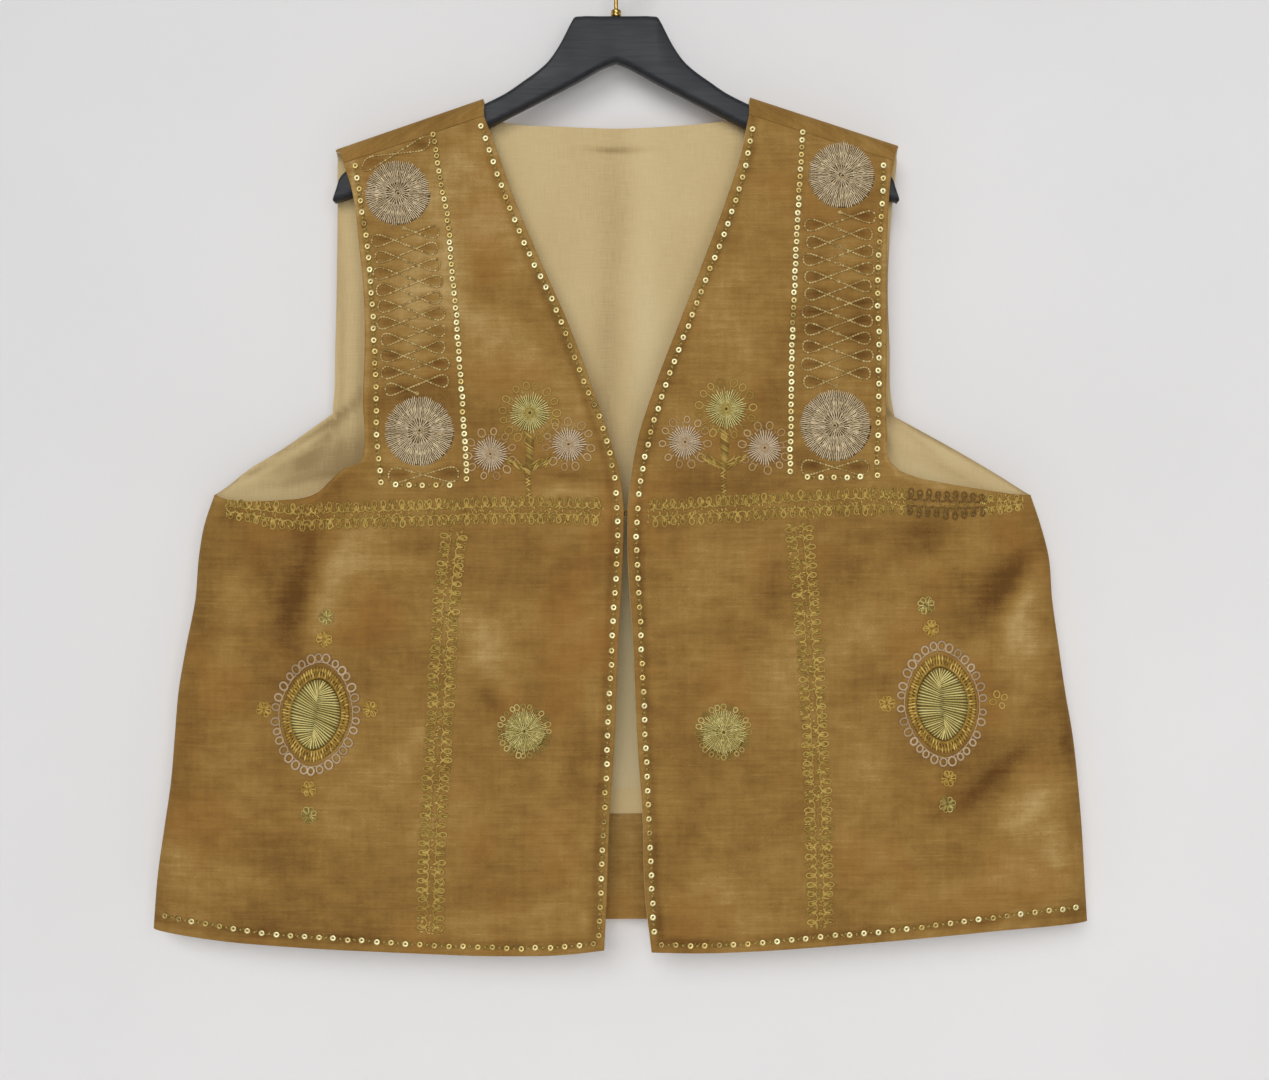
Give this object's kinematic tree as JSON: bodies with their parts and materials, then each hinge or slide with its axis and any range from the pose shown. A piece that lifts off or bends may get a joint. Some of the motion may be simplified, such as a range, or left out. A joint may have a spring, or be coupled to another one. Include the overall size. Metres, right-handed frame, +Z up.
{
  "type": "embroidered waistcoat on a hanger",
  "caption": "Open, sleeveless velvet waistcoat with raised thread embroidery and a pale lining, hanging flat on a black wooden coat hanger.",
  "frame": {"origin": "inner top of the hanger's hook, where a rail or a wall hook holds it", "axes": "+Z up; +X to the viewer's right as the fronts are seen; the fronts face -Y and the back faces +Y"},
  "size_m": [0.7299, 0.0455, 0.8046],
  "materials": {
    "velvet": "golden brown cotton velvet, napped, with slubs across",
    "lining": "pale straw plain-weave cotton",
    "silver_thread": "silver-lilac metal-wrapped thread, laid in rays",
    "gold_thread": "gold-green metal-wrapped thread, laid in rays",
    "gold_sequins": "polished flat sequins and small beads",
    "hanger_wood": "black satin paint on wood",
    "brass_fittings": "polished"
  },
  "bodies": {
    "root": {"front_left": "velvet", "front_right": "velvet", "back": "velvet", "back_hem_turnup": "velvet", "lining_front_left": "lining", "lining_front_right": "lining", "lining_back": "lining", "disc_shoulder_left_upper": "silver_thread", "disc_shoulder_left_lower": "silver_thread", "disc_shoulder_right_upper": "silver_thread", "disc_shoulder_right_lower": "silver_thread", "disc_hem_left": "gold_thread", "disc_hem_right": "gold_thread", "medallion_left": "gold_thread", "medallion_right": "gold_thread", "flower_left_top": "gold_thread", "flower_right_top": "gold_thread", "flower_left_outer": "silver_thread", "flower_left_inner": "silver_thread", "flower_right_outer": "silver_thread", "flower_right_inner": "silver_thread", "hanger_bar": "hanger_wood", "hanger_nut": "brass_fittings", "hanger_hook": "brass_fittings", "closure_hook": "brass_fittings", "closure_eye": "brass_fittings"}
  },
  "joints": []
}
